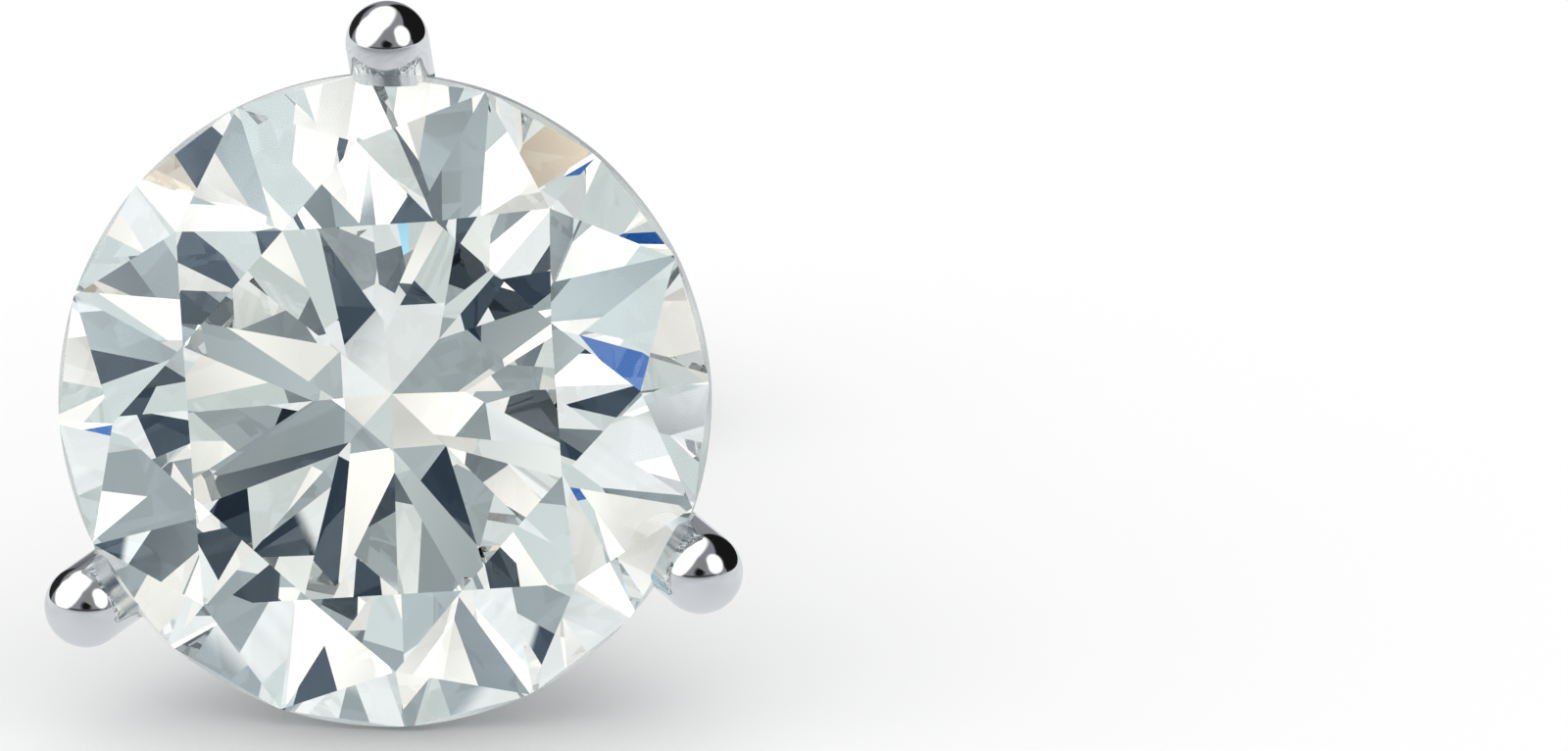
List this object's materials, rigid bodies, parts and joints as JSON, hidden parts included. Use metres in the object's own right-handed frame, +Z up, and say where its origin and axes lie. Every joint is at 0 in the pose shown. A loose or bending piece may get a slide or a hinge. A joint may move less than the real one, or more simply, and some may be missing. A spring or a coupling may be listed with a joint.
{
  "type": "stud earring",
  "caption": "Stud earring with a round brilliant stone in a three-prong setting, a straight ear post and a friction back, lying on a surface.",
  "frame": {"origin": "on the surface, under the middle of the earring's bounding box", "axes": "+Z up; the stone's table faces -Y and 10.5 degrees up; the post runs towards +Y; +X is to the right of someone facing the table"},
  "size_m": [0.007, 0.0154, 0.0072],
  "materials": {
    "stone": "polished, colourless",
    "polished_metal": "mirror polished white gold"
  },
  "bodies": {
    "root": {"brilliant_stone": "stone", "three_prong_setting": "polished_metal", "ear_post": "polished_metal", "friction_back": "polished_metal"}
  },
  "joints": []
}
